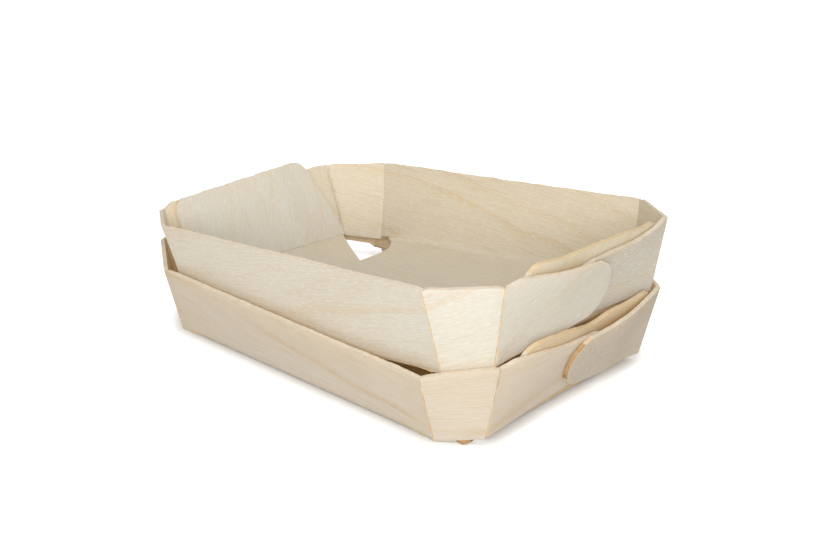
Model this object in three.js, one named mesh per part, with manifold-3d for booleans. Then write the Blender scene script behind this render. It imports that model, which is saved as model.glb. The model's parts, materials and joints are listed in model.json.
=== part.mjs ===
// Two folded poplar-veneer snack trays, the upper one nested at a tilt in the lower one.
// Millimetres, +Z up. X runs along the trays, Y across them. The origin is on the floor,
// under the middle of the lower tray's base.
import * as THREE from 'three';
import { mergeVertices } from 'three/addons/utils/BufferGeometryUtils.js';
import Module from 'manifold-3d';

const wasm = await Module();
wasm.setup();

// Sheet: scores are grooves where the veneer folds, each left as a narrow clear line
const veneer = 1.6;
const scoreGap = 0.3;

// Base and long walls
const baseLength = 135.5;
const baseWidth = 109;
const rimHeight = 30.6;
const wallFlare = THREE.MathUtils.degToRad(13);

// Corner panels: how far each runs along X and Y at its foot, from the long wall to the end wall
const cornerRunX = 14.75;
const cornerRunY = 10;

// End walls: the height of the tabs' lower edge, and how far the ends lean out
const endRise = 2.3;
const endLean = THREE.MathUtils.degToRad(14.9);

// Ramps and relief holes between the base and the end walls
const neckSetback = 21.25;
const neckWidth = 44;
const creaseRise = 1.6;
const creaseInset = 2;
const reliefStrip = 1.2;
const reliefDepth = 5;

// Tabs glued over each other at the ends. The rise is how far up an outer tip is glued askew
const tabTipRadius = 10.5;
const innerTabReach = 13;
const outerTabReach = 10;
const tabBendStart = 5;
const lowerTabRise = 2.6;
const upperTabRise = 0;
const glueSpotRadius = 3.2;
const glueSpotSpacing = 9;
const glueThickness = 0.25;
const glueClearance = 0.1;

// Flaps that stand up inside the tabs, cut back further on one side than on the other. At the right
// end the top edge also drops towards the wide side
const flapHeight = 35;
const flapTaper = 3;
const flapCutback = 12;
const rightTopDrop = 3.2;
const flapCornerRadius = 6;
const flapClearance = 0.45;

// How far the tabs and flap of each end bow out at mid-width, level with the rim, and the power of x that
// the bow falls off by towards the scores. The lower edges stay straight
const lowerRightBow = 3.4;
const lowerLeftBow = 1.6;
const upperBow = 0.3;
const bowFullness = 4;

// Tilt of the upper tray and the clearance that it keeps to the lower one
const nestPitch = THREE.MathUtils.degToRad(6.2);
const nestRoll = THREE.MathUtils.degToRad(-2.2);
const nestClearance = 0.75;

// Facets of the round tips and of the bowed sheets
const tipSegments = 14;
const bowSegments = 20;
const bowRows = 6;

// Places that follow from the sizes above
const wallX = baseLength / 2;
const wallY = baseWidth / 2;
const rimY = wallY + rimHeight * Math.tan(wallFlare);
const endX = wallX + cornerRunX;
const endY = wallY - cornerRunY;
const neckX = wallX - neckSetback;
const neckY = neckWidth / 2;
const endRimX = endX + (rimHeight - endRise) * Math.tan(endLean);
const endSlant = (rimHeight - endRise) / Math.cos(endLean);
const endRimY = cornerRimY();
const glueGap = glueThickness + 2 * glueClearance;
const tabStep = veneer + glueGap;
const flapSetback = veneer + flapClearance;
const creaseX = endX + (creaseRise - endRise) * Math.tan(endLean) - flapSetback / Math.cos(endLean);
const creaseY = endY - creaseInset;

// The corner panel is flat, so its upper end corner lies in the plane of its other three corners
function cornerRimY() {
  const foot = new THREE.Vector3(wallX, wallY, 0);
  const rim = new THREE.Vector3(wallX, rimY, rimHeight);
  const end = new THREE.Vector3(endX, endY, endRise);
  const plane = new THREE.Plane().setFromCoplanarPoints(foot, rim, end);
  const { normal, constant } = plane;
  return -(normal.x * endRimX + normal.z * rimHeight + constant) / normal.y;
}

// Outward normals of the panels, with side +1 or -1 along X or Y
const down = new THREE.Vector3(0, 0, -1);
const wallNormal = (sideY) => new THREE.Vector3(0, sideY * Math.cos(wallFlare), -Math.sin(wallFlare));
const endNormal = (sideX) => new THREE.Vector3(sideX * Math.cos(endLean), 0, -Math.sin(endLean));
const rampNormal = (sideX) => new THREE.Vector3(sideX * creaseRise, 0, neckX - creaseX).normalize();

function cornerPoints(sideX, sideY) {
  return [
    new THREE.Vector3(sideX * wallX, sideY * wallY, 0),
    new THREE.Vector3(sideX * endX, sideY * endY, endRise),
    new THREE.Vector3(sideX * endRimX, sideY * endRimY, rimHeight),
    new THREE.Vector3(sideX * wallX, sideY * rimY, rimHeight),
  ];
}

function cornerNormal(sideX, sideY) {
  const [foot, end, , rim] = cornerPoints(sideX, sideY);
  const normal = new THREE.Vector3().crossVectors(end.sub(foot), rim.sub(foot)).normalize();
  return normal.multiplyScalar(Math.sign(normal.y * sideY));
}

// A fold: a point and direction on the sheet's outer face, and the outward normals of both panels
function fold(point, along, normalA, normalB) {
  const bisector = normalA.clone().add(normalB).normalize();
  return { point, across: new THREE.Vector3().crossVectors(along, bisector).normalize() };
}

const yAxis = new THREE.Vector3(0, 1, 0);
const xAxis = new THREE.Vector3(1, 0, 0);
const wallFold = (sideY) => fold(new THREE.Vector3(0, sideY * wallY, 0), xAxis, down, wallNormal(sideY));
const rampFold = (sideX) =>
  fold(new THREE.Vector3(sideX * neckX, 0, 0), yAxis, down, rampNormal(sideX));
const flapFold = (sideX) =>
  fold(new THREE.Vector3(sideX * creaseX, 0, creaseRise), yAxis, rampNormal(sideX), endNormal(sideX));

function wallScore(sideX, sideY) {
  const [foot, , , rim] = cornerPoints(sideX, sideY);
  return fold(foot, rim.sub(foot), wallNormal(sideY), cornerNormal(sideX, sideY));
}

function endScore(sideX, sideY) {
  const [, end, endRim] = cornerPoints(sideX, sideY);
  return fold(end, endRim.sub(end), cornerNormal(sideX, sideY), endNormal(sideX));
}

function toSolid(geometry) {
  geometry.deleteAttribute('normal');
  geometry.deleteAttribute('uv');
  const merged = mergeVertices(geometry);
  const mesh = new wasm.Mesh({
    numProp: 3,
    vertProperties: merged.attributes.position.array,
    triVerts: Uint32Array.from(merged.index.array),
  });
  return new wasm.Manifold(mesh);
}

function toGeometry(solid) {
  const { vertProperties, triVerts } = solid.getMesh();
  const geometry = new THREE.BufferGeometry();
  geometry.setAttribute('position', new THREE.BufferAttribute(vertProperties, 3));
  geometry.setIndex(new THREE.BufferAttribute(triVerts, 1));
  geometry.computeVertexNormals();
  return geometry;
}

// Cuts a solid back to half a score gap from each fold, on the side where the panel lies
function mitre(solid, frame, inside, folds) {
  const toLocal = frame.clone().invert();
  return folds.reduce((cut, { point, across }) => {
    const side = Math.sign(inside.clone().sub(point).dot(across));
    const normal = across.clone().multiplyScalar(side);
    const edge = point.clone().addScaledVector(normal, scoreGap / 2).applyMatrix4(toLocal);
    normal.transformDirection(toLocal);
    return cut.trimByPlane(normal.toArray(), edge.dot(normal));
  }, solid);
}

function sheetMesh(name, colour, solid) {
  const material = new THREE.MeshStandardMaterial({ color: colour, roughness: 0.75, metalness: 0 });
  material.flatShading = true;
  const mesh = new THREE.Mesh(toGeometry(solid), material);
  mesh.name = name;
  return mesh;
}

// A flat panel from the corners of its outer face, extruded inwards by the veneer
function flatPanel(name, colour, corners, outward, folds) {
  const [first, second, third] = corners;
  const along = second.clone().sub(first).normalize();
  const facing = new THREE.Vector3().crossVectors(along, third.clone().sub(first));
  along.multiplyScalar(Math.sign(facing.dot(outward)));
  const up = new THREE.Vector3().crossVectors(outward, along);
  const frame = new THREE.Matrix4().makeBasis(along, up, outward).setPosition(first);
  const toLocal = frame.clone().invert();
  const outline = corners.map((corner) => corner.clone().applyMatrix4(toLocal));
  const shape = new THREE.Shape(outline.map(({ x, y }) => new THREE.Vector2(x, y)));
  const sheet = new THREE.ExtrudeGeometry(shape, { depth: veneer, bevelEnabled: false });
  sheet.translate(0, 0, -veneer);
  const middle = corners.reduce((sum, corner) => sum.add(corner), new THREE.Vector3());
  middle.divideScalar(corners.length);
  const mesh = sheetMesh(name, colour, mitre(toSolid(sheet), frame, middle, folds));
  mesh.applyMatrix4(frame);
  return mesh;
}

// The base: full width between the necks, with a half-moon relief beside each ramp
function baseShape() {
  const stripX = wallX - veneer;
  const stripY = wallY - reliefStrip;
  const edgeX = neckX - scoreGap / 2;
  const chord = new THREE.Vector2(stripX - edgeX, stripY - neckY);
  const pullX = -chord.y / chord.length() * 2 * reliefDepth;
  const pullY = chord.x / chord.length() * 2 * reliefDepth;
  const bendX = (stripX + edgeX) / 2 + pullX;
  const bendY = (stripY + neckY) / 2 + pullY;
  const shape = new THREE.Shape();
  shape.moveTo(edgeX, -neckY);
  for (const side of [1, -1]) {
    shape.lineTo(side * edgeX, side * neckY);
    shape.quadraticCurveTo(side * bendX, side * bendY, side * stripX, side * stripY);
    shape.lineTo(side * stripX, side * wallY);
    shape.lineTo(-side * stripX, side * wallY);
    shape.lineTo(-side * stripX, side * stripY);
    shape.quadraticCurveTo(-side * bendX, side * bendY, -side * edgeX, side * neckY);
  }
  return shape;
}

function basePanel(name, colour) {
  const sheet = new THREE.ExtrudeGeometry(baseShape(), { depth: veneer, bevelEnabled: false });
  const folds = [wallFold(1), wallFold(-1)];
  return sheetMesh(name, colour, mitre(toSolid(sheet), new THREE.Matrix4(), new THREE.Vector3(), folds));
}

// Frame of an end wall: x across the tray, y up the slope, z outwards, origin at the lower edge
function endFrame(sideX) {
  const up = new THREE.Vector3(sideX * Math.sin(endLean), 0, Math.cos(endLean));
  const across = new THREE.Vector3(0, sideX, 0);
  return new THREE.Matrix4()
    .makeBasis(across, up, endNormal(sideX))
    .setPosition(sideX * endX, 0, endRise);
}

// Outward slope of a bowed end at a place across its width, and its bow at a place up the slope
const bowSlope = (bow, x) => bow / endSlant * (1 - Math.abs(x / endY) ** bowFullness);
const bowAt = (bow, x, y) => y * bowSlope(bow, x);

// A sheet whose outer face follows depthAt(x, y), cut out along an outline
function bentSheet(shape, depthAt) {
  const margin = 2 * veneer;
  const width = 2 * (Math.max(endY, endRimY) + margin);
  const height = Math.max(endSlant, flapHeight) + 2 * margin;
  const sheet = new THREE.BoxGeometry(width, height, veneer, bowSegments, bowRows);
  sheet.translate(0, height / 2 - margin, -veneer / 2);
  const { position } = sheet.attributes;
  for (let i = 0; i < position.count; i += 1) {
    position.setZ(i, position.getZ(i) + depthAt(position.getX(i), position.getY(i)));
  }
  const cutter = new THREE.ExtrudeGeometry(shape, { depth: width, bevelEnabled: false });
  cutter.translate(0, 0, -width / 2);
  return toSolid(sheet).intersect(toSolid(cutter));
}

// A tongue that tapers from its end score to a round tip past the middle of the end
function tabShape(side, reach, tipRise) {
  const half = endSlant / 2;
  const radius = Math.min(tabTipRadius, half);
  const tipX = reach - radius;
  const run = endY + tipX;
  const taper = (fall) => Math.atan2(fall, run) - Math.asin(radius / Math.hypot(fall, run));
  const lowEnd = taper(half + tipRise) - Math.PI / 2;
  const highEnd = Math.PI / 2 - taper(half - tipRise);
  const shape = new THREE.Shape();
  shape.moveTo(-endRimY, endSlant);
  shape.lineTo(-endY, 0);
  shape.absarc(tipX, half + tipRise, radius, lowEnd, highEnd, false);
  return new THREE.Shape(shape.getPoints(tipSegments).map(({ x, y }) => new THREE.Vector2(-side * x, y)));
}

// Across an end, side is +1 where the tab's own score has the larger x of the end frame
function tabPanel(name, colour, sideX, sideY, reach, tipRise, depthAt) {
  const side = sideX * sideY;
  const frame = endFrame(sideX);
  const inside = new THREE.Vector3(0, 0, -veneer / 2).applyMatrix4(frame);
  const solid = bentSheet(tabShape(side, reach, tipRise), depthAt);
  return sheetMesh(name, colour, mitre(solid, frame, inside, [endScore(sideX, sideY)]));
}

// A leaf from its crease up to two rounded corners, the wide one topDrop lower than the narrow one
function flapShape(topDrop) {
  const foot = (creaseRise - endRise) / Math.cos(endLean);
  const narrowFoot = new THREE.Vector2(-creaseY, foot);
  const wideFoot = new THREE.Vector2(creaseY, foot);
  const narrowTop = new THREE.Vector2(flapCutback - creaseY, foot + flapHeight);
  const wideTop = new THREE.Vector2(creaseY - flapTaper, narrowTop.y - topDrop);
  const roundFrom = (corner, point) => point.clone().sub(corner).setLength(flapCornerRadius).add(corner);
  const shape = new THREE.Shape([narrowFoot, wideFoot]);
  for (const [before, corner, after] of [[wideFoot, wideTop, narrowTop], [wideTop, narrowTop, narrowFoot]]) {
    const start = roundFrom(corner, before);
    const end = roundFrom(corner, after);
    shape.lineTo(start.x, start.y);
    shape.quadraticCurveTo(corner.x, corner.y, end.x, end.y);
  }
  return shape;
}

function flapPanel(name, colour, sideX, bow) {
  const topDrop = sideX > 0 ? rightTopDrop : 0;
  const frame = endFrame(sideX);
  const inside = new THREE.Vector3(0, endSlant / 2, -flapSetback).applyMatrix4(frame);
  const depthAt = (x, y) => bowAt(bow, x, y) - flapSetback;
  const solid = bentSheet(flapShape(topDrop), depthAt);
  return sheetMesh(name, colour, mitre(solid, frame, inside, [flapFold(sideX)]));
}

function glueSpot(name, x, y, z, slope) {
  const spot = new THREE.CylinderGeometry(glueSpotRadius, glueSpotRadius, glueThickness, 16);
  spot.rotateX(Math.PI / 2);
  const material = new THREE.MeshStandardMaterial({ color: '#d9b878', roughness: 0.4, metalness: 0 });
  const mesh = new THREE.Mesh(spot, material);
  mesh.name = name;
  mesh.position.set(x, y, z);
  mesh.rotation.x = Math.atan(slope);
  return mesh;
}

// One end: two tabs glued over each other and the flap inside them, in the end's own frame
function endAssembly(prefix, sideX, outerSideY, tabRise, bow) {
  const group = new THREE.Group();
  const outerSide = sideX * outerSideY;
  const stepEnd = endY - innerTabReach;
  const innerDepth = (x, y) => bowAt(bow, x, y);
  const outerDepth = (x, y) =>
    bowAt(bow, x, y) + tabStep * THREE.MathUtils.smoothstep(endY - outerSide * x, tabBendStart, stepEnd);
  for (const [layer, colour, sideY, reach, rise, depthAt] of [
    ['outer', '#cfc5b4', outerSideY, outerTabReach, tabRise, outerDepth],
    ['inner', '#cdc2ae', -outerSideY, innerTabReach, tabRise / 2, innerDepth],
  ]) {
    group.add(tabPanel(`${prefix}_${layer}_tab`, colour, sideX, sideY, reach, rise, depthAt));
  }
  group.add(flapPanel(`${prefix}_flap`, '#e4d8c6', sideX, bow));
  const glueX = outerSide * (innerTabReach - outerTabReach) / 2;
  for (const [place, lift] of [['low', -1], ['high', 1]]) {
    const glueY = (endSlant + tabRise + lift * glueSpotSpacing) / 2;
    const glueZ = bowAt(bow, glueX, glueY) + glueGap / 2;
    group.add(glueSpot(`${prefix}_glue_${place}`, glueX, glueY, glueZ, bowSlope(bow, glueX)));
  }
  group.applyMatrix4(endFrame(sideX));
  return group;
}

function wallPanel(name, colour, sideY) {
  const corners = [
    [-wallX, wallY, 0],
    [wallX, wallY, 0],
    [wallX, rimY, rimHeight],
    [-wallX, rimY, rimHeight],
  ];
  const points = corners.map(([x, y, z]) => new THREE.Vector3(x, sideY * y, z));
  const folds = [wallFold(sideY), wallScore(1, sideY), wallScore(-1, sideY)];
  return flatPanel(name, colour, points, wallNormal(sideY), folds);
}

function cornerPanel(name, colour, sideX, sideY) {
  const folds = [wallScore(sideX, sideY), endScore(sideX, sideY)];
  return flatPanel(name, colour, cornerPoints(sideX, sideY), cornerNormal(sideX, sideY), folds);
}

function rampPanel(name, colour, sideX) {
  const corners = [
    [neckX, -neckY, 0],
    [creaseX, -creaseY, creaseRise],
    [creaseX, creaseY, creaseRise],
    [neckX, neckY, 0],
  ];
  const points = corners.map(([x, y, z]) => new THREE.Vector3(sideX * x, y, z));
  return flatPanel(name, colour, points, rampNormal(sideX), [rampFold(sideX), flapFold(sideX)]);
}

// A whole tray. outerSideY is the long wall whose tabs lie outside at both ends
function makeTray(prefix, outerSideY, tabRise, leftBow, rightBow) {
  const tray = new THREE.Group();
  tray.add(basePanel(`${prefix}_base`, '#c8b99c'));
  for (const [sideName, sideY] of [['front', -1], ['rear', 1]]) {
    tray.add(wallPanel(`${prefix}_${sideName}_wall`, '#d8ceba', sideY));
    for (const [endName, sideX] of [['left', -1], ['right', 1]]) {
      tray.add(cornerPanel(`${prefix}_${sideName}_${endName}_corner`, '#ece2cf', sideX, sideY));
    }
  }
  for (const [endName, sideX, bow] of [['left', -1, leftBow], ['right', 1, rightBow]]) {
    tray.add(rampPanel(`${prefix}_${endName}_ramp`, '#cfc0a4', sideX));
    tray.add(endAssembly(`${prefix}_${endName}`, sideX, outerSideY, tabRise, bow));
  }
  return tray;
}

// Where the tilted upper tray comes to rest, in the X-Z plane through the middle of the trays:
// its right end bears on the lower right flap and its left end on the top edge of the lower left flap
function nestPlace() {
  const turn = (x, z) => new THREE.Vector2(x, z).rotateAround(new THREE.Vector2(), nestPitch);
  const slope = Math.tan(endLean);
  const outside = tabStep + upperBow;
  const footX = endX + outside / Math.cos(endLean);
  const rightFoot = turn(footX, endRise);
  const inside = veneer + flapSetback + nestClearance - bowAt(lowerRightBow, innerTabReach, endSlant);
  const faceX = endX - endRise * slope - inside / Math.cos(endLean);
  const rightRoom = faceX - rightFoot.x + rightFoot.y * slope;
  const foot = (creaseRise - endRise) / Math.cos(endLean);
  const top = foot + flapHeight;
  const edgeDepth = bowAt(lowerLeftBow, innerTabReach, top) - flapSetback - veneer;
  const edge = new THREE.Vector3(0, top, edgeDepth).applyMatrix4(endFrame(-1));
  const leftFoot = turn(-footX, endRise);
  const leftNormal = turn(-Math.cos(endLean), -Math.sin(endLean));
  const leftEdge = new THREE.Vector2(edge.x, edge.z).sub(leftFoot);
  const leftRoom = leftEdge.dot(leftNormal) - nestClearance;
  const lift = (leftRoom - leftNormal.x * rightRoom) / (leftNormal.x * slope + leftNormal.y);
  const shiftY = rimHeight * Math.sin(nestRoll) / 2;
  return new THREE.Vector3(rightRoom + lift * slope, shiftY, lift);
}

const lowerTray = makeTray('lower', 1, lowerTabRise, lowerLeftBow, lowerRightBow);
const upperTray = makeTray('upper', -1, upperTabRise, upperBow, upperBow);
upperTray.rotation.set(nestRoll, -nestPitch, 0, 'ZYX');
upperTray.position.copy(nestPlace());

const pair = new THREE.Group();
pair.add(lowerTray, upperTray);

export default pair;
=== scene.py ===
import json
import math
import bpy
from mathutils import Matrix, Vector, noise

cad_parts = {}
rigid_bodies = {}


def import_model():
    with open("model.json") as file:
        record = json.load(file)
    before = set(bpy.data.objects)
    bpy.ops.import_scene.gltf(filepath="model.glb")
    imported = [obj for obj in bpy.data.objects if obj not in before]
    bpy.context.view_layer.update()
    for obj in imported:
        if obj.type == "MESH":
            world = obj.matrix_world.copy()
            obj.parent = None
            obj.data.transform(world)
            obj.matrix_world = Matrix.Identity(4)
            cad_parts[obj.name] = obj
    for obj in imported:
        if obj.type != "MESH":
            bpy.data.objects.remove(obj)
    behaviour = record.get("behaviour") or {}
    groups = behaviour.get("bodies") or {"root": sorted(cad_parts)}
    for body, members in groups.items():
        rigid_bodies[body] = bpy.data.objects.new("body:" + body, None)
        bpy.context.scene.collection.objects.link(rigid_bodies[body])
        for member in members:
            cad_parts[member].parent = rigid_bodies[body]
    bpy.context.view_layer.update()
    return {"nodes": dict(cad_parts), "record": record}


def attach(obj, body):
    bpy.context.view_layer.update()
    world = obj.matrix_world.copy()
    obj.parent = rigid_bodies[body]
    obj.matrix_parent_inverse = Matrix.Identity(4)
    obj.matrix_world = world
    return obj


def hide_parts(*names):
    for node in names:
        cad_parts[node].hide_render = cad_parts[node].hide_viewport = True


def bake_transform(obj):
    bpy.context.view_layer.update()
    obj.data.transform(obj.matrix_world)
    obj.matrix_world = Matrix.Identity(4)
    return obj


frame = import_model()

mm = 0.001
scene = bpy.context.scene
bodies = frame["record"]["behaviour"]["bodies"]
bodyOfNode = {node: body for body, nodes in bodies.items() for node in nodes}


def linear(text):   # sRGB hex to the linear colour that sockets take
    parts = [int(text[i:i + 2], 16) / 255 for i in (1, 3, 5)]
    return (*[p / 12.92 if p <= 0.04045 else ((p + 0.055) / 1.055) ** 2.4 for p in parts], 1.0)


def addNode(tree, kind, inputs=None, **settings):   # a node with its settings, values and links
    node = tree.nodes.new(kind)
    for name, value in settings.items():
        setattr(node, name, value)
    for socket, value in (inputs or {}).items():
        if isinstance(value, bpy.types.NodeSocket):
            tree.links.new(value, node.inputs[socket])
        else:
            node.inputs[socket].default_value = value
    return node


def smooth(x, low, high):
    t = min(max((x - low) / (high - low), 0), 1)
    return t * t * (3 - 2 * t)


# camera at the photograph's viewing angle

cameraView = {
    "focalPixels": 1471.0,   # focal length in pixels of an image 832 wide
    "imageWidth": 832, "sensorWidth": 36, "clipStart": 10 * mm,
    "azimuth": math.radians(43.496),
    "elevation": math.radians(23.096),
    "roll": math.radians(-0.844),
    "distance": 581.68 * mm,
    "target": Vector((-1.91, 11.43, 20.0)) * mm,
}


def addCamera(view):
    az, el, roll = view["azimuth"], view["elevation"], view["roll"]
    right = Vector((math.cos(az), math.sin(az), 0))
    back = Vector((math.sin(az) * math.cos(el), -math.cos(az) * math.cos(el), math.sin(el)))
    up = back.cross(right)
    turnedRight = right * math.cos(roll) + up * math.sin(roll)
    turnedUp = up * math.cos(roll) - right * math.sin(roll)
    data = bpy.data.cameras.new("photoCamera")
    data.sensor_fit = "HORIZONTAL"
    data.sensor_width = view["sensorWidth"]
    data.lens = view["focalPixels"] / view["imageWidth"] * data.sensor_width
    data.clip_start = view["clipStart"]
    camera = bpy.data.objects.new("photoCamera", data)
    scene.collection.objects.link(camera)
    turn = Matrix((turnedRight, turnedUp, back)).transposed().to_4x4()
    camera.matrix_world = Matrix.Translation(view["target"] + back * view["distance"]) @ turn
    scene.camera = camera


addCamera(cameraView)
print("camera placed")


# poplar veneer materials

# the grey of each look is painted shade, laid towards the blank's rear right corner onto the rear
# tabs of the right ends
veneerLooks = {   # one die-cut blank for each tray, sizes in millimetres
    "upper": {
        "pale": "#E7E7DE", "warm": "#E1DED0", "inner": "#EDE6CE", "shadeGrey": "#D8D5CB",
        "line": "#DDBB7E", "streak": "#DACFB8", "fuzz": "#F4F3EE",
        "growthTilt": 0.21, "growthWander": 9.0, "fibreTurn": math.radians(7), "seed": 0.0,
        "growthLines": {   # place across the blank: strength
            -97: 0.25, -81: 0.20, -66: 0.30, -37: 0.25, -12: 0.25,
            14: 0.20, 43.5: 0.55, 68: 0.50, 78: 0.40, 93: 0.25,
        },
    },
    "lower": {
        "pale": "#EBE8DD", "warm": "#E6E0D1", "inner": "#EFDFBC", "shadeGrey": "#D1CFC6",
        "line": "#DBBC86", "streak": "#D3C6AB", "fuzz": "#F0EADF",
        "growthTilt": -0.171, "growthWander": 7.0, "fibreTurn": math.radians(-6), "seed": 40.0,
        "growthLines": {
            -94: 0.25, -83: 0.15, -72.7: 0.80, -50: 0.25, -22: 0.30,
            8: 0.25, 31: 0.30, 56: 0.25, 70: 0.40, 88: 0.25,
        },
    },
}
warmStep = 6   # step in the blank's third value from a pale face to a warm one
# where the painted shade of the rear right corner comes in and where it is full
shadeGreyReach = (138, 178)   # along and across the blank together, in millimetres
growthBand = {"span": 130, "rise": 3.2, "fall": 0.7}   # darkens slowly into a line, ends sharply
fibrePatterns = {   # millimetres along and across, the noise that brings each in, and how far
    # soft warm patches
    "warm": {"size": (60, 18), "detail": 3.0, "noise": (0.35, 0.65), "level": (0, 1)},
    # fibre streaks, really about 0.2 mm wide, drawn wider so that they show
    "streak": {"size": (18, 0.6), "detail": 3.0, "noise": (0.46, 0.74), "level": (0, 0.75)},
    # raised fuzzy fibres, pale dashes whose paleness is a painted highlight of the light they
    # catch, drawn wider too
    "fuzz": {"size": (3, 0.45), "detail": 2.0, "noise": (0.50, 0.70), "level": (0, 0.9)},
}
growthPatterns = {   # how the growth lines wander across the sheet, and where they fade
    "wander": {"size": (80, 45), "detail": 2.0},
    "fade": {"size": (50, 30), "detail": 2.0, "noise": (0.40, 0.60), "level": (0.25, 1)},
}
peelFinish = {"bump": 0.45, "bumpHeight": 0.12 * mm, "roughness": (0.68, 0.86)}
thinSheet = {   # share of the light that soaks through, and the amber that it comes out
    "upper": 0.3, "lower": 0.38, "edge": 0.3, "ior": 1.45,
    "outerTint": "#FFF0D8", "innerTint": "#F8D69E", "edgeTint": "#FADFAB",
}


def startMaterial(name):
    material = bpy.data.materials.new(name)
    material.use_nodes = True
    return material, material.node_tree, material.node_tree.nodes["Principled BSDF"]


def glowThrough(tree, shader, share, tint):   # light that soaks through a thin sheet
    shader.inputs["IOR"].default_value = thinSheet["ior"]
    through = addNode(tree, "ShaderNodeBsdfTranslucent", {"Color": tint})
    both = addNode(tree, "ShaderNodeMixShader", {
        0: share, 1: shader.outputs[0], 2: through.outputs[0]})
    tree.links.new(both.outputs[0], tree.nodes["Material Output"].inputs["Surface"])


# Rotary-peeled poplar: a few wandering growth lines, soft cream mottling, short fuzzy fibres
def peeledPoplar(trayName, look):
    material, tree, shader = startMaterial(f"rotaryPeeledPoplar_{trayName}")
    blank = addNode(tree, "ShaderNodeAttribute", attribute_name="blank").outputs["Vector"]
    turned = addNode(tree, "ShaderNodeMapping", {
        "Vector": blank, "Rotation": (0, 0, look["fibreTurn"])}).outputs[0]
    place = addNode(tree, "ShaderNodeSeparateXYZ", {0: blank}).outputs
    noises, tones = {}, {}
    for sheet, patterns in ((turned, fibrePatterns), (blank, growthPatterns)):
        for name, pattern in patterns.items():
            along, across = pattern["size"]
            scaled = addNode(tree, "ShaderNodeMapping", {
                "Vector": sheet, "Scale": (1 / along, 1 / across, 1)}).outputs[0]
            noises[name] = addNode(tree, "ShaderNodeTexNoise", {
                "Vector": scaled, "Scale": 1.0, "Detail": pattern["detail"]}).outputs[0]
            if "noise" in pattern:
                low, high = pattern["noise"]
                least, most = pattern["level"]
                tones[name] = addNode(tree, "ShaderNodeMapRange", {
                    "Value": noises[name], "From Min": low, "From Max": high,
                    "To Min": least, "To Max": most}).outputs[0]

    # the sheet is painted greyer towards its rear right corner, a painted shade on the rear tabs of
    # the right ends, and one face is warmer
    cornerward = addNode(tree, "ShaderNodeMath", {0: place[0], 1: place[1]}).outputs[0]
    tones["shadeGrey"] = addNode(tree, "ShaderNodeMapRange", {
        "Value": cornerward, "From Min": shadeGreyReach[0], "From Max": shadeGreyReach[1]}).outputs[0]
    tones["inner"] = addNode(tree, "ShaderNodeMapRange", {
        "Value": place[2], "From Min": look["seed"],
        "From Max": look["seed"] + warmStep}).outputs[0]

    # growth lines: level lines of a field that tilts across the blank and wanders
    slope = addNode(tree, "ShaderNodeMath", {
        0: place[0], 1: look["growthTilt"], 2: place[1]}, operation="MULTIPLY_ADD").outputs[0]
    span, drift = growthBand["span"], look["growthWander"]
    field = addNode(tree, "ShaderNodeMath", {
        0: noises["wander"], 1: 2 * drift, 2: slope}, operation="MULTIPLY_ADD").outputs[0]
    level = addNode(tree, "ShaderNodeMapRange", {
        "Value": field, "From Min": drift - span, "From Max": drift + span}).outputs[0]
    lines = addNode(tree, "ShaderNodeValToRGB", {0: level})
    stops = lines.color_ramp.elements
    stops[0].color = stops[1].color = (0, 0, 0, 1)
    for line, strength in look["growthLines"].items():
        for offset, shade in ((-growthBand["rise"], 0), (0, strength), (growthBand["fall"], 0)):
            stop = stops.new((line + offset + span) / (2 * span))
            stop.color = (shade, shade, shade, 1)
    tones["line"] = addNode(tree, "ShaderNodeMath", {
        0: lines.outputs[0], 1: tones["fade"]}, operation="MULTIPLY").outputs[0]

    coat = linear(look["pale"])
    for layer in ("warm", "shadeGrey", "inner", "line", "streak", "fuzz"):   # each over the last
        coat = addNode(tree, "ShaderNodeMix", {
            "Factor": tones[layer], "A": coat, "B": linear(look[layer])},
            data_type="RGBA").outputs["Result"]
    tree.links.new(coat, shader.inputs["Base Color"])

    height = addNode(tree, "ShaderNodeMath", {
        0: tones["fuzz"], 1: tones["streak"]}, operation="SUBTRACT").outputs[0]
    bump = addNode(tree, "ShaderNodeBump", {
        "Height": height, "Strength": peelFinish["bump"], "Distance": peelFinish["bumpHeight"]})
    tree.links.new(bump.outputs[0], shader.inputs["Normal"])
    smoothest, roughest = peelFinish["roughness"]
    rough = addNode(tree, "ShaderNodeMapRange", {
        "Value": noises["warm"], "To Min": smoothest, "To Max": roughest}).outputs[0]
    tree.links.new(rough, shader.inputs["Roughness"])
    tint = addNode(tree, "ShaderNodeMix", {
        "Factor": tones["inner"], "A": linear(thinSheet["outerTint"]),
        "B": linear(thinSheet["innerTint"])}, data_type="RGBA").outputs["Result"]
    glowThrough(tree, shader, thinSheet[trayName], tint)
    return material


edgeLooks = {
    # cut along the fibres, across them, and square across at the round end of a tab, painted brown
    # there as shade
    "sideGrain": {"pale": "#F1EDE2", "deep": "#E6DCC6", "speck": "#D8C6A4"},
    "endGrain": {"pale": "#EFE0C4", "deep": "#E5CDA4", "speck": "#CBA673"},
    "tabEnd": {"pale": "#C6AA82", "deep": "#B3946A", "speck": "#8F6A42"},
}
edgePatterns = {   # size in millimetres, the noise that brings each in, and how far
    "grain": {"size": 1.4, "detail": 3.0, "noise": (0.3, 0.7), "most": 1.0},
    "speck": {"size": 0.5, "detail": 1.0, "noise": (0.56, 0.72), "most": 0.5},
}
edgeFinish = {"bump": 0.5, "bumpHeight": 0.2 * mm, "roughness": 0.9}


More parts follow.
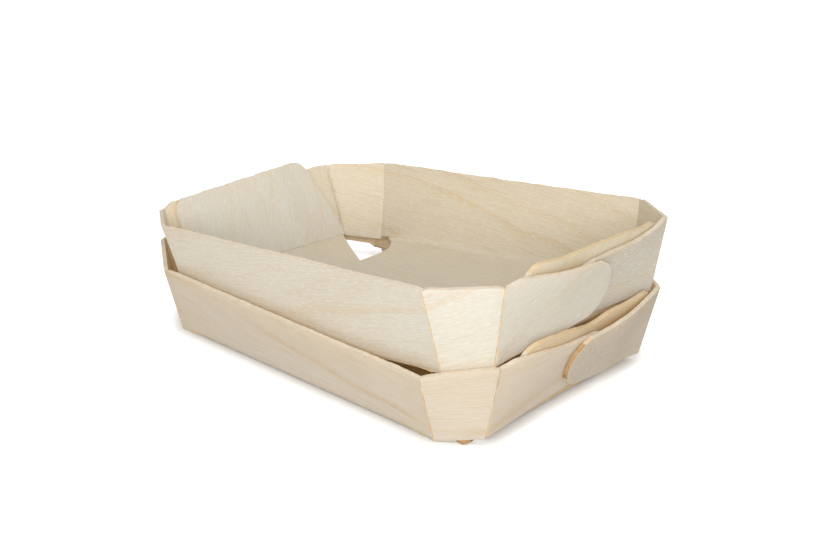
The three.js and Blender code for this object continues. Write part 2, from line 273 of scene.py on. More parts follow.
# Die-cut poplar edge: torn fibres, pale along the grain, tan and porous across it
def cutPoplar(name, look):
    material, tree, shader = startMaterial(f"dieCutPoplar_{name}")
    place = addNode(tree, "ShaderNodeTexCoord").outputs["Object"]
    colour = linear(look["pale"])
    for layer, kind in (("deep", "grain"), ("speck", "speck")):
        pattern = edgePatterns[kind]
        spots = addNode(tree, "ShaderNodeTexNoise", {
            "Vector": place, "Scale": 1 / (pattern["size"] * mm),
            "Detail": pattern["detail"]}).outputs[0]
        low, high = pattern["noise"]
        tone = addNode(tree, "ShaderNodeMapRange", {
            "Value": spots, "From Min": low, "From Max": high,
            "To Max": pattern["most"]}).outputs[0]
        colour = addNode(tree, "ShaderNodeMix", {
            "Factor": tone, "A": colour, "B": linear(look[layer])},
            data_type="RGBA").outputs["Result"]
    tree.links.new(colour, shader.inputs["Base Color"])
    bump = addNode(tree, "ShaderNodeBump", {
        "Height": spots, "Strength": edgeFinish["bump"], "Distance": edgeFinish["bumpHeight"]})
    tree.links.new(bump.outputs[0], shader.inputs["Normal"])
    shader.inputs["Roughness"].default_value = edgeFinish["roughness"]
    glowThrough(tree, shader, thinSheet["edge"], linear(thinSheet["edgeTint"]))
    return material


crushedLooks = {
    "scored": {"pale": "#DFC79C", "deep": "#C9A877"},
    "torn": {"pale": "#BEA27E", "deep": "#A98052"},
}
crushedFinish = {"size": 3, "detail": 2.0, "noise": (0.35, 0.65), "roughness": 0.95}


# Crushed poplar: pressed by the rule, so a groove reads as a thin tan line, or torn out and painted
# brown as the shade it hangs in under the hem
def crushedPoplar(name, look):
    material, tree, shader = startMaterial(f"crushedPoplar_{name}")
    place = addNode(tree, "ShaderNodeTexCoord").outputs["Object"]
    crush = addNode(tree, "ShaderNodeTexNoise", {
        "Vector": place, "Scale": 1 / (crushedFinish["size"] * mm),
        "Detail": crushedFinish["detail"]}).outputs[0]
    low, high = crushedFinish["noise"]
    crushTone = addNode(tree, "ShaderNodeMapRange", {
        "Value": crush, "From Min": low, "From Max": high}).outputs[0]
    tone = addNode(tree, "ShaderNodeMix", {
        "Factor": crushTone, "A": linear(look["pale"]), "B": linear(look["deep"])},
        data_type="RGBA").outputs["Result"]
    tree.links.new(tone, shader.inputs["Base Color"])
    shader.inputs["Roughness"].default_value = crushedFinish["roughness"]
    return material


glueLook = {
    "pale": "#E3C78C", "deep": "#C49A52", "size": 1.5, "detail": 2.0,
    "bump": 0.3, "bumpHeight": 0.1 * mm, "roughness": 0.4,
}


# Dried starch glue: amber, half clear, with a slightly puckered skin
def driedGlue(look):
    material, tree, shader = startMaterial("driedStarchGlue")
    place = addNode(tree, "ShaderNodeTexCoord").outputs["Object"]
    skin = addNode(tree, "ShaderNodeTexNoise", {
        "Vector": place, "Scale": 1 / (look["size"] * mm), "Detail": look["detail"]}).outputs[0]
    tone = addNode(tree, "ShaderNodeMix", {
        "Factor": skin, "A": linear(look["pale"]), "B": linear(look["deep"])},
        data_type="RGBA").outputs["Result"]
    tree.links.new(tone, shader.inputs["Base Color"])
    bump = addNode(tree, "ShaderNodeBump", {
        "Height": skin, "Strength": look["bump"], "Distance": look["bumpHeight"]})
    tree.links.new(bump.outputs[0], shader.inputs["Normal"])
    shader.inputs["Roughness"].default_value = look["roughness"]
    return material


veneer = {name: peeledPoplar(name, look) for name, look in veneerLooks.items()}
cutEdges = {name: cutPoplar(name, look) for name, look in edgeLooks.items()}
crushed = {name: crushedPoplar(name, look) for name, look in crushedLooks.items()}
glue = driedGlue(glueLook)
print("materials made")


# the folded blanks: each panel's place in the flat sheet, found by unfolding the tray

tray = {   # millimetres, as the frame has them
    "wallX": 67.75, "wallY": 54.5, "rimY": 61.565, "rimZ": 30.6,
    "endX": 82.5, "endY": 44.5, "endZ": 2.3, "endRimX": 90.03, "endRimY": 45.657,
    "cornerRim": 27.4, "neckX": 46.5, "neckY": 22.0,
    "creaseX": 80.192, "creaseY": 42.5, "creaseZ": 1.6, "endLean": math.radians(14.9),
}
trayHeart = Vector((0, 0, 15)) * mm   # a point inside every tray, so that outwards is known
panelReach = {"middle": 10, "flapTop": 30, "crease": 10}   # to a point on a panel, in millimetres
trayPoses = {
    "lower": Matrix.Identity(4),
    "upper": Matrix.Translation(Vector((4.881, -0.587, 19.508)) * mm)
    @ Matrix.Rotation(math.radians(-6.2), 4, "Y") @ Matrix.Rotation(math.radians(-2.2), 4, "X"),
}


def foldOn(parent, pose, start, end, inside):   # a panel that leaves its parent at a fold
    start, end, inside = (pose @ (Vector(p) * mm) for p in (start, end, inside))
    line = (end - start).normalized()
    leave = line.cross(parent["out"])
    leave *= -1 if (parent["middle"] - start).dot(leave) > 0 else 1
    enter = inside - start
    enter = (enter - line * enter.dot(line)).normalized()
    out = line.cross(enter)
    out *= 1 if out.dot(start - pose @ trayHeart) > 0 else -1
    middle = (start + end) / 2 + enter * panelReach["middle"] * mm
    turned = {key: line * parent[key].dot(line) + enter * parent[key].dot(leave)
              for key in ("along", "across")}
    reach = start - parent["at"]
    bisector = (out + parent["out"]).normalized()
    plane = line.cross(bisector).normalized()
    fold = {
        "at": start, "line": line, "bisector": bisector, "plane": plane,
        "lean": abs(plane.dot(enter)),
    }
    return {
        "at": start, "out": out, "middle": middle, **turned, "fold": fold, "parent": parent["name"],
        "u": parent["u"] + reach.dot(parent["along"]),
        "v": parent["v"] + reach.dot(parent["across"]),
    }


def unfoldTray(trayName):   # every panel, outwards from the base
    t, pose = tray, trayPoses[trayName]
    turn = pose.to_3x3()
    panels = {"base": {
        "name": "base", "at": pose.translation.copy(), "middle": pose.translation.copy(),
        "along": turn.col[0].copy(), "across": turn.col[1].copy(), "out": -turn.col[2],
        "u": 0.0, "v": 0.0,
    }}

    def fold(name, parent, start, end, inside):
        panels[name] = {**foldOn(panels[parent], pose, start, end, inside), "name": name}

    for side, sy in (("front", -1), ("rear", 1)):
        fold(f"{side}_wall", "base", (-t["wallX"], sy * t["wallY"], 0),
             (t["wallX"], sy * t["wallY"], 0), (0, sy * t["rimY"], t["rimZ"]))
        for end, sx in (("left", -1), ("right", 1)):
            foot = (sx * t["wallX"], sy * t["wallY"], 0)
            rim = (sx * t["wallX"], sy * t["rimY"], t["rimZ"])
            endFoot = (sx * t["endX"], sy * t["endY"], t["endZ"])
            endRim = (sx * t["endRimX"], sy * t["endRimY"], t["rimZ"])
            fold(f"{side}_{end}_corner", f"{side}_wall", foot, rim, endFoot)
            outerFromFront = trayName == "upper"
            layer = "outer" if (side == "front") == outerFromFront else "inner"
            fold(f"{end}_{layer}_tab", f"{side}_{end}_corner", endFoot, endRim,
                 (sx * t["endX"], 0, t["endZ"]))
    for end, sx in (("left", -1), ("right", 1)):
        fold(f"{end}_ramp", "base", (sx * t["neckX"], -t["neckY"], 0),
             (sx * t["neckX"], t["neckY"], 0), (sx * t["creaseX"], 0, t["creaseZ"]))
        reach, half = panelReach["flapTop"], panelReach["crease"]
        top = (sx * (t["creaseX"] + reach * math.sin(t["endLean"])), 0,
               t["creaseZ"] + reach * math.cos(t["endLean"]))
        fold(f"{end}_flap", f"{end}_ramp", (sx * t["creaseX"], -half, t["creaseZ"]),
             (sx * t["creaseX"], half, t["creaseZ"]), top)
    return panels


# modelling the panels

sheetWork = {   # millimetres
    "score": 0.3, "lap": 0.05, "groove": 0.26, "grooveNear": 0.4, "grooveDeep": 0.3,
    "fineCut": 1.4, "coarseCut": 4.0, "creaseRows": (1.0, 2.0, 3.0, 4.2, 5.4), "creaseBend": 6.0,
    "foldReach": 2.6, "foldFade": 9.0, "foldRows": (0.3, 0.7, 1.2, 1.8),
    "warp": 0.2, "warpSize": (36, 30), "warpFade": (0.5, 12),
    "edgeWave": 0.28, "waveSize": 9, "edgeFuzz": 0.24, "fuzzSize": 1.7, "edgeFade": (0.2, 1.5),
    "notchDepth": 0.5, "notchWidth": 1.6, "notchAbove": 20,
    "farFromFold": 50,   # for a panel with no such fold
}
edgeSeeds = {"along": 7.3, "across": 31.7}   # so that an edge strays differently each way
floorEdgeShare = 0.25   # edges of the floor and its holes stray less than rims do
ringRise = 0.5   # how upright a score of the wall ring is at least
sheetThickness = 1.6
weldReach, cutTolerance = 0.002 * mm, 0.001 * mm   # for merging corners and for cutting
flatAngle = math.radians(0.2)   # facets that meet flatter than this are one side
smoothAngle = math.radians(32)   # edges sharper than this stay sharp

sheetSet = {   # how far each tray has sprung from its drawn shape, in millimetres
    "upper": {
        "baseLift": {"front_left": 0.8, "front_right": -2.0, "rear_left": -2.2, "rear_right": 0.6},
        "rimLift": {"front_left": 1.2, "front_right": -1.0, "rear_left": 0.4, "rear_right": 1.3},
        "frontDip": (0.0, 0.0), "frontSag": 2.2, "leftSpring": 2.0, "rearPush": 0.0,
    },
    "lower": {
        "baseLift": {"front_left": 0.0, "front_right": 0.0, "rear_left": 2.5, "rear_right": 0.0},
        "rimLift": {"front_left": 0.0, "front_right": 1.2, "rear_left": 0.0, "rear_right": 0.4},
        "frontDip": (2.8, 4.9), "frontSag": 0.0, "leftSpring": 0.0, "rearPush": 0.9,
    },
}
setReach = Vector((75, 55))   # half the length and width that the lifts are given for
heightLimit = 1.1   # share of the rim's height up to which they grow


def settle(trayName, name, point, u):   # moves a point as the tray's sheet has sprung
    given, t, pose = sheetSet[trayName], tray, trayPoses[trayName]
    x, y, z = (pose.inverted() @ point) / mm
    right = min(max(0.5 + x / setReach.x / 2, 0), 1)
    rear = min(max(0.5 + y / setReach.y / 2, 0), 1)
    height = min(max(z / t["rimZ"], 0), heightLimit)

    def liftAt(lifts):
        front = lifts["front_left"] * (1 - right) + lifts["front_right"] * right
        back = lifts["rear_left"] * (1 - right) + lifts["rear_right"] * right
        return front * (1 - rear) + back * rear

    lift = liftAt(given["baseLift"]) * (1 - height) + liftAt(given["rimLift"]) * height
    move = Vector((0, 0, lift))
    if name.startswith("front"):
        along = min(max(0.5 + u / t["wallX"] / 2, 0), 1)
        dip = given["frontDip"][0] * (1 - along) + given["frontDip"][1] * along
        move.z -= dip * height * min(max(1 - (abs(u) - t["wallX"]) / t["cornerRim"], 0), 1)
    sag = given["frontSag"] * max(1 - (x / t["wallX"]) ** 2, 0)
    move.z -= sag * (1 - rear) ** 2 * (1 - min(height, 1))
    move.x -= given["leftSpring"] * (1 - right) ** 2 * height ** 3
    move.y += given["rearPush"] * (1 - right) * max(2 * rear - 1, 0) * max(1 - height, 0)
    return pose.to_3x3() @ move * mm


def selectOnly(piece):
    bpy.ops.object.select_all(action="DESELECT")
    piece.select_set(True)
    bpy.context.view_layer.objects.active = piece


def editAll(piece):
    selectOnly(piece)
    bpy.ops.object.mode_set(mode="EDIT")
    bpy.ops.mesh.select_all(action="SELECT")


def copySheet(nodeName):
    piece = bpy.data.objects.new(f"{nodeName}_sheet", frame["nodes"][nodeName].data.copy())
    scene.collection.objects.link(piece)
    piece.data.materials.clear()
    editAll(piece)
    bpy.ops.mesh.remove_doubles(threshold=weldReach)
    bpy.ops.object.mode_set(mode="OBJECT")
    return piece


def mergeFacets(piece):   # leaves one face for each flat side
    editAll(piece)
    bpy.ops.mesh.dissolve_limited(angle_limit=flatAngle)
    bpy.ops.object.mode_set(mode="OBJECT")


endBend = {   # how the tabs and flaps of the ends bend, in millimetres
    "bow": {"lower_left": 1.6, "lower_right": 3.4, "upper_left": 0.3, "upper_right": 0.3},
    "bowPower": 4, "rimSlant": 29.28, "stepStart": 5.0, "stepEnd": 31.5,
    "outerStep": 2.05, "flapSetback": 2.05,
    "rimSpring": {"upper_right": 3.2, "lower_left": 0.9},   # how far the rim has sprung out
    "riseStart": 7, "riseHold": 0.4, "riseFoot": 10,   # how a rise comes in, along and up
    "tabRise": {   # the side near which a rim stands up, how far it does, and over which reach
        "upper_left": (("rear", 1.0, 36), ("front", 2.6, 40)),
        "upper_right": (("front", 2.3, 75),), "lower_right": (("front", 2.0, 36),),
    },
    "flapTrim": {   # how much shorter a flap is, at five places from its front to its rear
        "upper_left": (3.0, 2.5, 1.9, 1.3, 0.8),
        "upper_right": (0.0, 1.3, 0.8, 0.6, 1.6),
        "lower_right": (0.2, 0.9, 3.0, 0.8, 0.7),
    },
    "trimHalf": 30, "trimUp": (12, 32),   # the outermost of them, and where that comes in
    "flapWiden": {"upper_right": 2.6, "lower_right": 1.8},   # how much further it reaches forwards
    "widenFront": (16, 32), "widenUp": (4, 22),   # where that comes in, forwards and up the flap
}


def endFrame(trayName, sideX):   # across the tray, up the slope of the end, outwards
    t, lean = tray, tray["endLean"]
    turn = Matrix((
        (0, sideX * math.sin(lean), sideX * math.cos(lean)),
        (sideX, 0, 0),
        (0, math.cos(lean), -math.sin(lean)),
    )).to_4x4()
    foot = Matrix.Translation(Vector((sideX * t["endX"], 0, t["endZ"])) * mm)
    return trayPoses[trayName] @ foot @ turn


def bendDepth(trayName, name, x, y):   # how far the drawn end stands out of its plane
    e, t = endBend, tray
    end, kind = name.split("_")[0], name.split("_")[-1]
    bow = e["bow"][f"{trayName}_{end}"]
    depth = y * bow / e["rimSlant"] * (1 - abs(x / t["endY"]) ** e["bowPower"])
    if kind == "flap":
        return depth - e["flapSetback"]
    if "outer" in name:
        outerSide = (1 if end == "right" else -1) * (1 if trayName == "lower" else -1)
        depth += e["outerStep"] * smooth(t["endY"] - outerSide * x, e["stepStart"], e["stepEnd"])
    return depth


def springDepth(trayName, name, x, y):   # how much further its rim has sprung
    e = endBend
    spring = e["rimSpring"].get(f"{trayName}_{name.split('_')[0]}", 0)
    return spring * (y / e["rimSlant"]) ** 2 * max(1 - abs(x / tray["endY"]) ** e["bowPower"], 0)


def layFlat(piece, trayName, name):   # cuts and paint are laid out on the flat sheet
    toEnd = endFrame(trayName, 1 if name.startswith("right") else -1)
    for vertex in piece.data.vertices:
        x, y, z = toEnd.inverted() @ vertex.co / mm
        inner = z - bendDepth(trayName, name, x, y) < -sheetThickness / 2
        vertex.co = toEnd @ (Vector((x, y, -sheetThickness if inner else 0)) * mm)


def edgeShift(trayName, name, x, y):   # how far along and up the end a free edge has strayed
    e, t = endBend, tray
    end, kind = name.split("_")[0], name.split("_")[-1]
    key, rearSign = f"{trayName}_{end}", 1 if end == "right" else -1
    rearwards = x * rearSign
    if kind == "flap":
        trims = e["flapTrim"].get(key, (0,) * 5)
        place = min(max(rearwards / e["trimHalf"], -1), 1) * 2 + 2   # 0 in front, 4 at the rear
        i = min(int(place), 3)
        trim = trims[i] + (trims[i + 1] - trims[i]) * smooth(place - i, 0, 1)
        widen = e["flapWiden"].get(key, 0)
        widen *= smooth(-rearwards, *e["widenFront"]) * smooth(y, *e["widenUp"])
        return -rearSign * widen, -trim * smooth(y, *e["trimUp"])
    lift = 0
    for side, rise, reach in e["tabRise"].get(key, ()):
        away = t["endY"] - (rearwards if side == "rear" else -rearwards)
        rise *= smooth(away, 0, e["riseStart"])
        lift += rise * (1 - smooth(away, e["riseHold"] * reach, reach))
    return 0, lift * smooth(y, e["riseFoot"], e["rimSlant"])


def bendAgain(point, trayName, name):   # the way back from the flat sheet to the bent one
    toEnd = endFrame(trayName, 1 if name.startswith("right") else -1)
    x, y, z = toEnd.inverted() @ point / mm
    shiftX, shiftY = edgeShift(trayName, name, x, y)
    x, y = x + shiftX, y + shiftY
    z += bendDepth(trayName, name, x, y) + springDepth(trayName, name, x, y)
    return toEnd @ (Vector((x, y, z)) * mm)


hemWork = {   # lower edges of the lower tray's corner panels, in millimetres
    "torn": "front_right_corner", "tipPlace": 1.6, "tipWidth": 8.0, "tipRow": 0.4,
    "tipOut": 3.2, "tipDown": 1.3, "tipBlunt": 2.5,
    "arched": "rear_left_corner", "arch": 1.9, "archReach": 12.0, "archEnd": 3,
}


def hemLine(name):   # a corner panel's lower edge: its start, its run, up the panel, outwards
    t = tray
    sideX, sideY = (1 if "right" in name else -1), (1 if "rear" in name else -1)
    foot = Vector((sideX * t["wallX"], sideY * t["wallY"], 0))
    line = Vector((sideX * t["endX"], sideY * t["endY"], t["endZ"])) - foot
    rim = Vector((sideX * t["wallX"], sideY * t["rimY"], t["rimZ"])) - foot
    up = (rim - line * rim.dot(line) / line.length_squared).normalized()
    return foot, line, up, line.cross(up).normalized() * sideX * -sideY


def tornTip(trayName, name, point):   # only fibres of the inner side have torn out
    h = hemWork
    if trayName != "lower" or name != h["torn"]:
        return 0
    foot, line, up, out = hemLine(name)
    reach = point / mm - foot
    if reach.dot(up) > h["tipRow"] / 2 or reach.dot(out) > -sheetThickness / 2:
        return 0
    along = reach.dot(line.normalized()) - line.length / 2 - h["tipPlace"]
    return max(1 - abs(along) / h["tipWidth"] * 2, 0)


def hemShift(trayName, name, point):   # the torn tip and the arch of a lower edge
    h = hemWork
    tip = tornTip(trayName, name, point)
    if tip > 0:
        flat = hemLine(name)[3] * Vector((1, 1, 0))
        down = Vector((0, 0, h["tipDown"] * min(h["tipBlunt"] * tip, 1)))
        return (flat.normalized() * h["tipOut"] * tip - down) * mm
    if trayName != "lower" or name != h["arched"]:
        return Vector()
    foot, line, up = hemLine(name)[:3]
    reach = point / mm - foot
    along = reach.dot(line.normalized())
    hold = smooth(along, 0, h["archEnd"]) * smooth(line.length - along, 0, h["archEnd"])
    return Vector((0, 0, h["arch"] * hold * max(1 - reach.dot(up) / h["archReach"], 0))) * mm


reliefWork = {   # how much further the half-moon holes reach into base and neck, in millimetres
    "bite": 2.8, "neckIn": 2.4, "neckEnd": 0.8, "creaseIn": 0.3, "bulge": 5.0, "fade": 15.0,
}


def reliefShift(panel, u, v):   # draws the sheet back from the half-moon holes
    t, w = tray, reliefWork
    neck, foot = Vector((t["neckX"], t["neckY"])), Vector((t["wallX"], t["wallY"]))
    if panel["name"].endswith("ramp"):
        out = min(max((abs(u) - neck.x) / (t["creaseX"] - neck.x), 0), 1)
        edge = neck.y + (t["creaseY"] - neck.y) * out
        narrow = w["neckIn"] + (w["creaseIn"] - w["neckIn"]) * out ** 2
        back, aside = 0, narrow * (1 - smooth(edge - abs(v), 0, w["fade"]))
    else:
        chord, reach = foot - neck, Vector((abs(u), abs(v))) - (neck + foot) / 2
        place = reach.dot(chord) / chord.length_squared * 2   # -1 at the neck, 1 at the wall
        inwards = Vector((-chord.y, chord.x)).normalized()
        depth = reach.dot(inwards) - w["bulge"] * max(1 - place ** 2, 0)
        away = math.hypot(max(depth, 0), max(abs(place) - 1, 0) * chord.length / 2)
        hold = 1 - smooth(away, 0, w["fade"])
        back = w["bite"] * hold * smooth(place, -1, 0)
        aside = w["neckIn"] * hold * (1 - smooth(place, -1, w["neckEnd"]))
    return -panel["along"] * math.copysign(back, u) - panel["across"] * math.copysign(aside, v)


def closeScore(piece, panel, fold):   # brings a mitred edge just past the middle of its score
    side = math.copysign(1, (panel["middle"] - fold["at"]).dot(fold["plane"]))
    for vertex in piece.data.vertices:
        away = (vertex.co - fold["at"]).dot(fold["plane"])
        if abs(away) < sheetWork["score"] * mm:
            vertex.co -= fold["plane"] * (away + side * sheetWork["lap"] * mm)


def bevelEdges(piece, wanted, width, segments):
    selectOnly(piece)
    bpy.ops.object.mode_set(mode="EDIT")
    bpy.ops.mesh.select_all(action="DESELECT")
    bpy.ops.mesh.select_mode(type="EDGE")
    bpy.ops.object.mode_set(mode="OBJECT")
    count = 0
    for edge in piece.data.edges:
        edge.select = wanted(*(piece.data.vertices[i].co for i in edge.vertices))
        count += edge.select
    bpy.ops.object.mode_set(mode="EDIT")
    if count:
        bpy.ops.mesh.bevel(offset=width, segments=segments, affect="EDGES", clamp_overlap=True)
    bpy.ops.object.mode_set(mode="OBJECT")


def cutGrid(piece, panel, stepAlong, stepAcross):   # so that the sheet can bend
    editAll(piece)
    for key, step in (("along", stepAlong), ("across", stepAcross)):
        places = [(v.co - panel["at"]).dot(panel[key]) for v in piece.data.vertices]
        low, high = min(places), max(places)
        count = max(2, round((high - low) / (step * mm)))
        for i in range(1, count):
            bpy.ops.mesh.select_all(action="SELECT")
            cutAt = panel["at"] + panel[key] * (low + (high - low) * i / count)
            bpy.ops.mesh.bisect(plane_co=cutAt, plane_no=panel[key], threshold=cutTolerance)
    bpy.ops.object.mode_set(mode="OBJECT")


def cutBesideFold(piece, fold, rows):   # close rows, so that the sheet can bend there
    editAll(piece)
    for side in (-1, 1):
        for row in rows:
            bpy.ops.mesh.select_all(action="SELECT")
            cutAt = fold["at"] + fold["plane"] * side * row * mm
            bpy.ops.mesh.bisect(plane_co=cutAt, plane_no=fold["plane"], threshold=cutTolerance)
    bpy.ops.object.mode_set(mode="OBJECT")


def cutAboveHem(piece, name):   # one close row, so that the torn tip pulls no more than that
    foot, _, up, _ = hemLine(name)
    editAll(piece)
    cutAt = (foot + up * hemWork["tipRow"]) * mm
    bpy.ops.mesh.bisect(plane_co=cutAt, plane_no=up, threshold=cutTolerance)
    bpy.ops.object.mode_set(mode="OBJECT")


def blankPlace(panel, point):   # place on the flat sheet, in millimetres
    reach = point - panel["at"]
    u, v = panel["u"] + reach.dot(panel["along"]), panel["v"] + reach.dot(panel["across"])
    return u / mm, v / mm


def addBlankAttribute(piece, panel, seed):   # the third value tells a warm face from a pale one
    values = []
    flap = panel["name"].endswith("flap")   # drawn from its inner face, and warm on the outer one
    for vertex in piece.data.vertices:
        u, v = blankPlace(panel, vertex.co)
        height = (vertex.co - panel["at"]).dot(panel["out"]) / mm
        warm = height > sheetThickness / 2 if flap else height < -sheetThickness / 2
        values += [u, v, seed + warmStep * warm]
    piece.data.attributes.new("blank", "FLOAT_VECTOR", "POINT").data.foreach_set("vector", values)


def awayFrom(fold, point):   # distance from the plane of a score, in millimetres
    return abs((point - fold["at"]).dot(fold["plane"])) / mm


# how squarely a side has to look out of the sheet, across a score or along the fibres
squareEnough = {"peeled": 0.8, "scored": 0.5, "endGrain": 0.6, "tabEnd": 0.82}
# the shaded slot holds a torn tip or a tab's end, each painted darker as shade
peeledSlot, sideSlot, endSlot, scoreSlot, shadedSlot = range(5)


def paintFaces(piece, trayName, panel, folds):
    q = squareEnough

    def scored(face):
        return any(awayFrom(f, face.center) < sheetWork["score"]
                   and abs(face.normal.dot(f["plane"])) > q["scored"] for f in folds)

    for face in piece.data.polygons:
        corners = [piece.data.vertices[i].co for i in face.vertices]
        if max(tornTip(trayName, panel["name"], corner) for corner in corners) > 0:
            face.material_index = shadedSlot
        elif abs(face.normal.dot(panel["out"])) > q["peeled"]:
            face.material_index = peeledSlot
        elif scored(face):
            face.material_index = scoreSlot
        else:
            across = abs(face.normal.dot(panel["along"]))
            rough = q["tabEnd"] if face.normal.z > 0 else q["endGrain"]   # a side that faces down takes the painted shade sooner
            if panel["name"].endswith("tab") and across > rough:
                face.material_index = shadedSlot
            else:
                face.material_index = endSlot if across > q["endGrain"] else sideSlot


def roundFold(fold, point, u):   # the sheet bends over a short reach instead of breaking
    w = sheetWork
    bend = math.sqrt(1 - fold["lean"] ** 2)
    away = awayFrom(fold, point) / fold["lean"] / w["foldReach"]
    hold = smooth(tray["wallX"] - abs(u), 0, w["foldFade"])
    return fold["bisector"] * -hold * bend * w["foldReach"] / 2 * max(1 - away, 0) ** 2


def shapePanel(piece, panel, trayName, folds, ringFolds, roundFolds, bent):
    w = sheetWork
    mesh = piece.data
    seed = veneerLooks[trayName]["seed"] + sum(ord(c) for c in panel["name"])
    cutSlots = [sideSlot, endSlot] + [shadedSlot] * bent   # a torn tip keeps its own line
    cutFaces = [face for face in mesh.polygons if face.material_index in cutSlots]
    cutVertices = {i for face in cutFaces for i in face.vertices}
    isFlap = "flap" in panel["name"]
    for vertex in mesh.vertices:
        point = vertex.co.copy()
        u, v = blankPlace(panel, point)
        away = min((awayFrom(f, point) for f in folds), default=w["farFromFold"])
        swell = noise.noise(Vector((u / w["warpSize"][0], v / w["warpSize"][1], seed)))
        move = panel["out"] * w["warp"] * smooth(away, *w["warpFade"]) * swell
        if vertex.index in cutVertices:
            onRim = abs(v) > tray["wallY"] or isFlap
            hold = smooth(away, *w["edgeFade"]) * (1 if onRim else floorEdgeShare)
            for key, shift in edgeSeeds.items():
                wave = noise.noise(Vector((u / w["waveSize"], v / w["waveSize"], seed + shift)))
                fuzz = noise.noise(Vector((u / w["fuzzSize"], v / w["fuzzSize"], seed + shift)))
                move += panel[key] * hold * (w["edgeWave"] * wave + w["edgeFuzz"] * fuzz)
            scoreAway = min((awayFrom(f, point) for f in ringFolds), default=w["farFromFold"])
            if abs(v) > tray["wallY"] + w["notchAbove"]:   # a small notch in the rim at each score
                notch = w["notchDepth"] * max(1 - scoreAway / w["notchWidth"], 0)
                move -= panel["across"] * math.copysign(notch, v)
        for fold in roundFolds:
            move += roundFold(fold, point, u)
        if panel["name"].endswith(("base", "ramp")):
            move += reliefShift(panel, u, v)
        moved = point + move * mm
        if bent:
            moved = bendAgain(moved, trayName, panel["name"])
        moved += hemShift(trayName, panel["name"], moved)
        vertex.co = moved + settle(trayName, panel["name"], moved, u)


def makePanel(trayName, panels, name):
    panel = panels[name]
    nodeName = f"{trayName}_{name}"
    piece = copySheet(nodeName)
    kind = name.split("_")[-1]
    children = [p for p in panels.values() if p.get("parent") == name]
    folds = [p["fold"] for p in [panel, *children] if "fold" in p]
    for fold in folds:
        closeScore(piece, panel, fold)
    bent = kind in ("tab", "flap")
    if bent:
        layFlat(piece, trayName, name)
    mergeFacets(piece)

    # a groove along each score of the wall ring, on the outside
    down = panels["base"]["out"]
    ringFolds = [f for f in folds if abs(f["line"].dot(down)) > ringRise]

    def grooved(a, b):
        near, deep = sheetWork["grooveNear"], sheetWork["grooveDeep"] * mm
        return any(max(awayFrom(f, a), awayFrom(f, b)) < near
                   and min((p - f["at"]).dot(panel["out"]) for p in (a, b)) > -deep
                   for f in ringFolds)

    bevelEdges(piece, grooved, sheetWork["groove"] * mm, 1)
    fine, coarse = sheetWork["fineCut"], sheetWork["coarseCut"]
    steps = {"flap": (coarse, fine), "ramp": (coarse, fine), "base": (coarse, coarse)}
    cutGrid(piece, panel, *steps.get(kind, (fine, coarse)))
    wallFolds = [p["fold"] for p in panels.values() if p["name"].endswith("wall")]
    roundFolds = [f for f in wallFolds if f in folds]
    for fold in roundFolds:
        cutBesideFold(piece, fold, sheetWork["foldRows"])
    if kind == "flap":
        cutBesideFold(piece, panel["fold"], sheetWork["creaseRows"])
    torn = nodeName == f"lower_{hemWork['torn']}"
    if torn:
        cutAboveHem(piece, name)
    addBlankAttribute(piece, panel, veneerLooks[trayName]["seed"])
    paintFaces(piece, trayName, panel, folds)
    looks = [veneer[trayName], cutEdges["sideGrain"], cutEdges["endGrain"], crushed["scored"]]
    if torn or kind == "tab":
        looks.append(crushed["torn"] if torn else cutEdges["tabEnd"])
    for material in looks:
        piece.data.materials.append(material)
    shapePanel(piece, panel, trayName, folds, ringFolds, roundFolds, bent)
    selectOnly(piece)
    bpy.ops.object.shade_smooth_by_angle(angle=smoothAngle)
    if kind == "flap":   # the veneer bends at its crease; a flap is baked in place and not attached to a body
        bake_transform(piece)
    else:
        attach(piece, bodyOfNode[nodeName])
    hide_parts(nodeName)


for trayName in trayPoses:
    panels = unfoldTray(trayName)
    for name in panels:
        makePanel(trayName, panels, name)
    print(trayName, "tray modelled")


def makeGlueSpot(nodeName):   # dried between the tabs, so it has sprung out with them
    trayName, end = nodeName.split("_")[:2]
    piece = copySheet(nodeName)
    piece.name = f"{nodeName}_spot"
    toEnd = endFrame(trayName, 1 if end == "right" else -1)
    for vertex in piece.data.vertices:
        x, y, z = toEnd.inverted() @ vertex.co / mm
        moved = toEnd @ (Vector((x, y, z + springDepth(trayName, end, x, y))) * mm)
        vertex.co = moved + settle(trayName, end, moved, 0)
    piece.data.materials.append(glue)
    selectOnly(piece)
    bpy.ops.object.shade_smooth_by_angle(angle=smoothAngle)
    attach(piece, bodyOfNode[nodeName])
    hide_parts(nodeName)


for nodeName in [name for name in frame["nodes"] if "_glue_" in name]:
    makeGlueSpot(nodeName)
print("glue laid")


# floor, backdrop and light

stageLook = {
    "floor": "#DEDDDA", "size": 8, "fill": 0.68, "world": 0.45,
    "contact": 6 * mm, "contactPower": 1.8, "contactRays": 8,   # the shade where the tray stands
}


def raysThatSee(tree):   # straight, in a gloss or through glass, but not what lights the veneer
    ray = addNode(tree, "ShaderNodeLightPath").outputs
    seen = addNode(tree, "ShaderNodeMath", {
        0: ray["Is Transmission Ray"], 1: ray["Is Diffuse Ray"]},
        operation="SUBTRACT", use_clamp=True).outputs[0]
    for kind in ("Is Glossy Ray", "Is Camera Ray"):
        seen = addNode(tree, "ShaderNodeMath", {
            0: seen, 1: ray[kind]}, operation="MAXIMUM").outputs[0]
    return seen


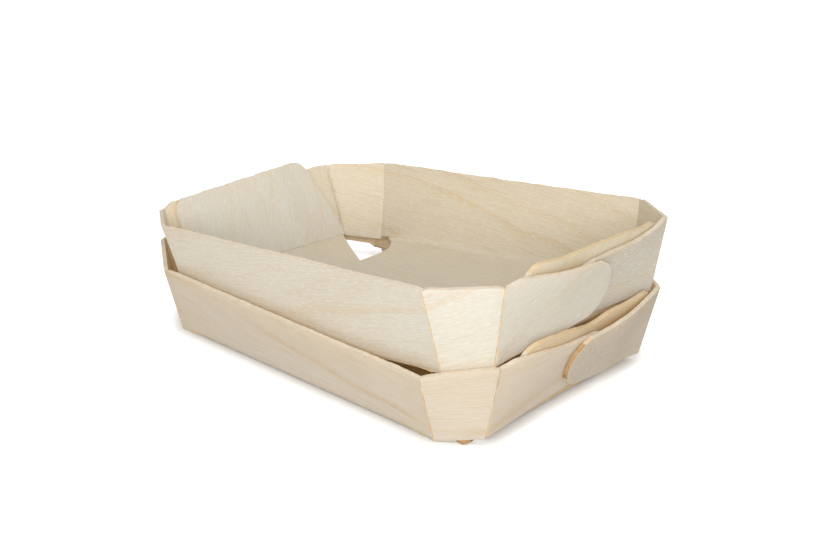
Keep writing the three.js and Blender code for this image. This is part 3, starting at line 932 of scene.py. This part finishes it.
# White floor paint: a soft grey line of shade is left where the tray stands
def whiteFloor(look):
    material = bpy.data.materials.new("matteFloorPaint")
    material.use_nodes = True
    tree = material.node_tree
    tree.nodes.clear()
    near = addNode(tree, "ShaderNodeAmbientOcclusion", {
        "Distance": look["contact"]}, samples=look["contactRays"]).outputs["AO"]
    shade = addNode(tree, "ShaderNodeMath", {
        0: near, 1: look["contactPower"]}, operation="POWER").outputs[0]
    fill = addNode(tree, "ShaderNodeMath", {
        0: shade, 1: look["fill"]}, operation="MULTIPLY").outputs[0]
    seen = addNode(tree, "ShaderNodeMath", {
        0: raysThatSee(tree), 1: fill}, operation="MULTIPLY").outputs[0]
    glow = addNode(tree, "ShaderNodeEmission", {"Strength": seen})
    paint = addNode(tree, "ShaderNodeBsdfDiffuse", {"Color": linear(look["floor"])})
    both = addNode(tree, "ShaderNodeAddShader", {0: paint.outputs[0], 1: glow.outputs[0]})
    addNode(tree, "ShaderNodeOutputMaterial", {"Surface": both.outputs[0]})
    return material


bpy.ops.object.select_all(action="DESELECT")
bpy.ops.mesh.primitive_plane_add(size=stageLook["size"])
floor = bpy.context.object
floor.name = "floor"
floor.data.materials.append(whiteFloor(stageLook))

world = bpy.data.worlds.new("studio")   # plain soft light, and white where it is seen
world.use_nodes = True
scene.world = world
sky = world.node_tree.nodes["Background"]
sky.inputs["Color"].default_value = (1, 1, 1, 1)
skyLight = addNode(world.node_tree, "ShaderNodeMapRange", {
    "Value": raysThatSee(world.node_tree), "To Min": stageLook["world"], "To Max": 1.0}).outputs[0]
world.node_tree.links.new(skyLight, sky.inputs["Strength"])

lamps = {
    "keySoftbox": {"place": (0.78, -0.82, 0.53), "size": 0.55, "power": 11.8},
    "topSoftbox": {"place": (0.05, 0.05, 1.1), "size": 0.9, "power": 3.0},
}


def addLamp(name, lamp):
    data = bpy.data.lights.new(name, "AREA")
    data.size = lamp["size"]
    data.energy = lamp["power"]
    light = bpy.data.objects.new(name, data)
    scene.collection.objects.link(light)
    light.location = lamp["place"]
    light.rotation_euler = (-Vector(lamp["place"])).to_track_quat("-Z", "Y").to_euler()


for name, lamp in lamps.items():
    addLamp(name, lamp)
scene.view_settings.view_transform = "Standard"
print("stage lit")
